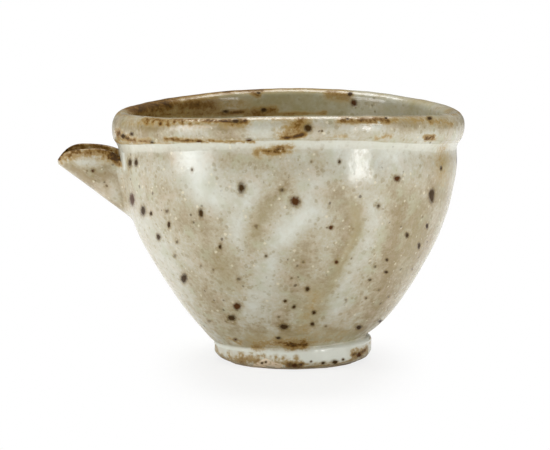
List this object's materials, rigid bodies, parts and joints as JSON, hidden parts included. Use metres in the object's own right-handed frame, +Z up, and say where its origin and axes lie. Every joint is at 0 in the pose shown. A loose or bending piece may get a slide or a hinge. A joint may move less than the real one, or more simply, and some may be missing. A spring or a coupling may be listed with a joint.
{
  "type": "katakuchi sake pourer",
  "caption": "Round stoneware pouring bowl with a rolled rim, a beak spout luted to its side over a pour hole, and a low turned foot ring, in a pale iron-speckled glaze.",
  "frame": {"origin": "on the bowl's axis, in the plane that the foot ring stands on", "axes": "+Z up along the bowl's axis, -X towards the spout's tip, +Y away from the viewer of the picture"},
  "size_m": [0.1293, 0.112, 0.0829],
  "materials": {
    "speckled_glaze": "glossy pale grey-white glaze over buff stoneware, with brown edges and iron spots",
    "foot_clay": "thin glaze over turned stoneware, bare and brown at the rest",
    "pooled_glaze": "thick pale blue-grey glaze, glossy"
  },
  "bodies": {
    "root": {"bowl": "speckled_glaze", "rolled_rim": "speckled_glaze", "foot_ring": "foot_clay", "spout": "speckled_glaze", "spout_lute": "speckled_glaze", "rim_glaze_pool": "pooled_glaze", "foot_glaze_pool": "pooled_glaze"}
  },
  "joints": []
}
